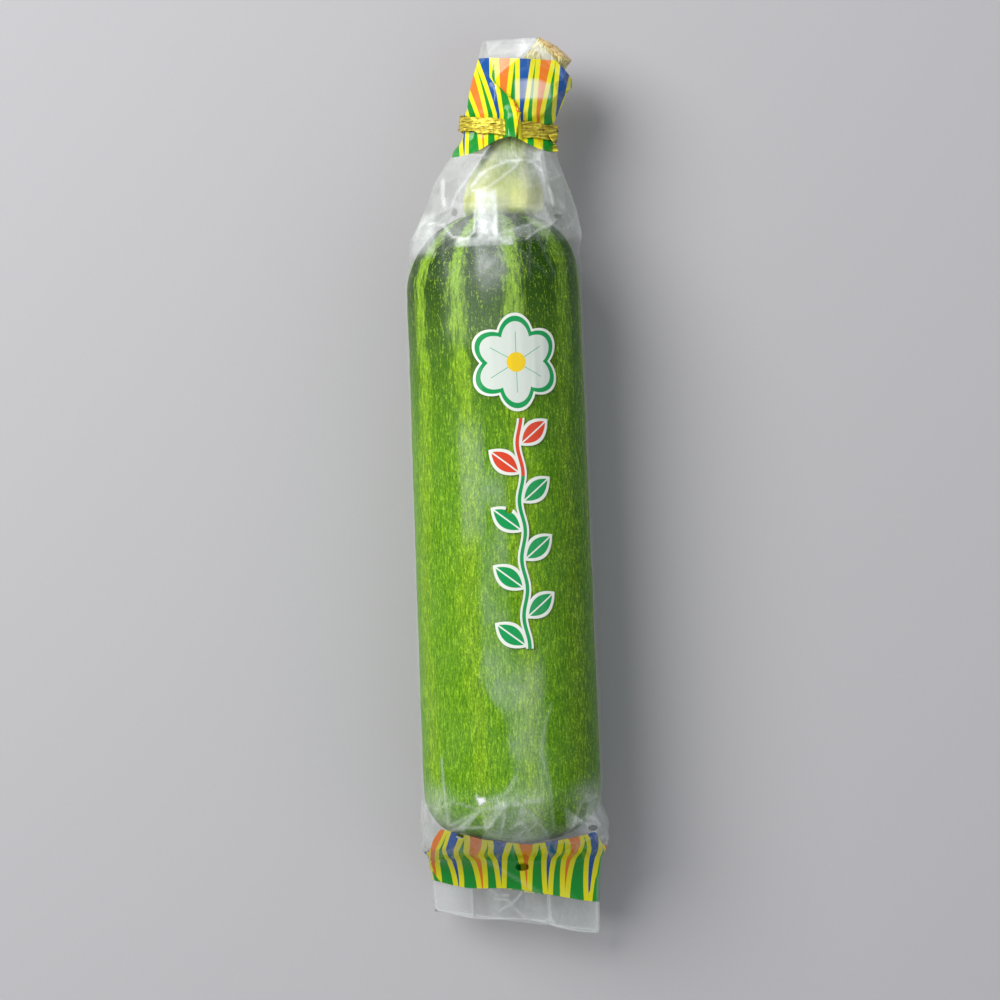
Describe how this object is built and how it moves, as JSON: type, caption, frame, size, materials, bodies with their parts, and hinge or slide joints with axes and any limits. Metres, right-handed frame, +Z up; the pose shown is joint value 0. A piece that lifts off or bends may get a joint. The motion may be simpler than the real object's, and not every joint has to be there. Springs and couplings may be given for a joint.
{
  "type": "korean zucchini",
  "caption": "Korean zucchini in the clear printed film bag it grew in, tied at the neck with a gold twist tie, lying on its side.",
  "frame": {"origin": "under the middle of the whole outline, on the surface the bag lies on", "axes": "+Y along the fruit towards the stem, +Z up, +X to the right seen from above with the stem away"},
  "size_m": [0.0548, 0.2654, 0.054],
  "materials": {
    "zucchini_skin": "satin",
    "stem_green": "matte",
    "clear_film": "gloss",
    "gold_foil": "metallised"
  },
  "bodies": {
    "root": {"fruit": "zucchini_skin", "stem": "stem_green", "film_bag": "clear_film", "twist_tie": "gold_foil"}
  },
  "joints": []
}
